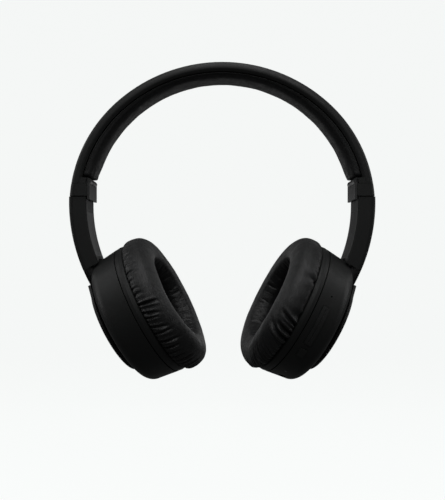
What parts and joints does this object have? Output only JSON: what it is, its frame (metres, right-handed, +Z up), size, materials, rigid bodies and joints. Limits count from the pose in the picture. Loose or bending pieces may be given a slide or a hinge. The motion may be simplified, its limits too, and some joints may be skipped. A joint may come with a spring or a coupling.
{
  "type": "over ear headphones",
  "caption": "Foldable wireless over ear headphones: padded headband, folding and sliding arms, tilting round cups with gathered ear cushions.",
  "frame": {"origin": "the padded underside of the headband at its crown, where it rests on a head", "axes": "+Z up, +X towards the wearer's side with the controls, -Y to the side from which both ear openings are seen"},
  "size_m": [0.1718, 0.079, 0.178],
  "materials": {
    "shell_black": "satin soft-touch",
    "band_leatherette": "matte leatherette",
    "pad_leatherette": "soft satin protein leatherette",
    "inner_black": "matte",
    "cover_grey": "gloss",
    "cover_black": "satin",
    "leaf_grey": "gloss",
    "steel": "brushed",
    "magnet": "nickel plated",
    "board_green": "solder mask",
    "cloth_black": "open mesh",
    "foil": "thin film",
    "lead_black": "matte",
    "button_black": "satin",
    "light_pipe": "clear"
  },
  "bodies": {
    "headband": {"band_shell": "shell_black", "band_spring": "steel", "band_liner": "inner_black", "band_cushion": "band_leatherette", "band_lead": "lead_black", "band_screws": "steel", "hinge_bracket_left": "steel", "hinge_bracket_right": "steel", "hinge_pin_left": "steel", "hinge_pin_right": "steel"},
    "hinge_left": {"hinge_leaf_left": "leaf_grey", "hinge_block_left": "shell_black", "slider_strip_left": "steel"},
    "arm_left": {"arm_shell_left": "shell_black", "arm_cover_left": "cover_grey"},
    "gimbal_left": {"pivot_cross_left": "steel"},
    "cup_left": {"pivot_mount_left": "inner_black", "pivot_screws_left": "steel", "cup_housing_left": "shell_black", "bezel_ring_left": "shell_black", "baffle_left": "inner_black", "cup_screws_left": "steel", "driver_frame_left": "inner_black", "driver_magnet_left": "magnet", "diaphragm_left": "foil", "speaker_cloth_left": "cloth_black", "pad_plate_left": "inner_black", "ear_pad_left": "pad_leatherette", "battery": "foil"},
    "hinge_right": {"hinge_leaf_right": "leaf_grey", "hinge_block_right": "shell_black", "slider_strip_right": "steel"},
    "arm_right": {"arm_shell_right": "shell_black", "arm_cover_right": "cover_black"},
    "gimbal_right": {"pivot_cross_right": "steel"},
    "cup_right": {"pivot_mount_right": "inner_black", "pivot_screws_right": "steel", "cup_housing_right": "shell_black", "bezel_ring_right": "shell_black", "baffle_right": "inner_black", "cup_screws_right": "steel", "driver_frame_right": "inner_black", "driver_magnet_right": "magnet", "diaphragm_right": "foil", "speaker_cloth_right": "cloth_black", "pad_plate_right": "inner_black", "ear_pad_right": "pad_leatherette", "circuit_board": "board_green", "switch_strip": "inner_black", "usb_socket": "steel", "audio_jack": "inner_black", "status_light": "light_pipe", "microphone": "steel"},
    "power_button": {"power_button": "button_black"},
    "volume_rocker": {"volume_rocker": "button_black"}
  },
  "joints": [
    {"name": "fold_left", "type": "hinge", "parent": "headband", "child": "hinge_left", "pos_m": [-0.075, 0, -0.0578], "axis": [0, -1, 0], "range_deg": [0, 80]},
    {"name": "slide_left", "type": "slide", "parent": "hinge_left", "child": "arm_left", "axis": [0, 0, 1], "range_m": [-0.022, 0]},
    {"name": "tilt_left", "type": "hinge", "parent": "arm_left", "child": "gimbal_left", "pos_m": [-0.0572, 0, -0.1379], "axis": [0.1392, 0.9903, 0], "range_deg": [-2.5, 10]},
    {"name": "swivel_left", "type": "hinge", "parent": "gimbal_left", "child": "cup_left", "pos_m": [-0.0572, 0, -0.1379], "axis": [-0.4496, 0.0632, 0.891], "range_deg": [-4, 4]},
    {"name": "fold_right", "type": "hinge", "parent": "headband", "child": "hinge_right", "pos_m": [0.075, 0, -0.0578], "axis": [0, -1, 0], "range_deg": [-80, 0]},
    {"name": "slide_right", "type": "slide", "parent": "hinge_right", "child": "arm_right", "axis": [0, 0, -1], "range_m": [0, 0.022]},
    {"name": "tilt_right", "type": "hinge", "parent": "arm_right", "child": "gimbal_right", "pos_m": [0.0572, 0, -0.1379], "axis": [0.1392, -0.9903, 0], "range_deg": [-2.5, 10]},
    {"name": "swivel_right", "type": "hinge", "parent": "gimbal_right", "child": "cup_right", "pos_m": [0.0572, 0, -0.1379], "axis": [0.4496, 0.0632, 0.891], "range_deg": [-4, 4]},
    {"name": "power_press", "type": "slide", "parent": "cup_right", "child": "power_button", "axis": [0.1281, 0.8649, 0.4853], "range_m": [0, 0.0006], "stiffness_N_per_m": 1500, "springref_m": -0.0005},
    {"name": "volume_rock", "type": "hinge", "parent": "cup_right", "child": "volume_rocker", "pos_m": [0.04987, -0.03591, -0.13641], "axis": [-0.8823, -0.124, 0.454], "range_deg": [-2, 2], "stiffness_Nm_per_rad": 1}
  ]
}
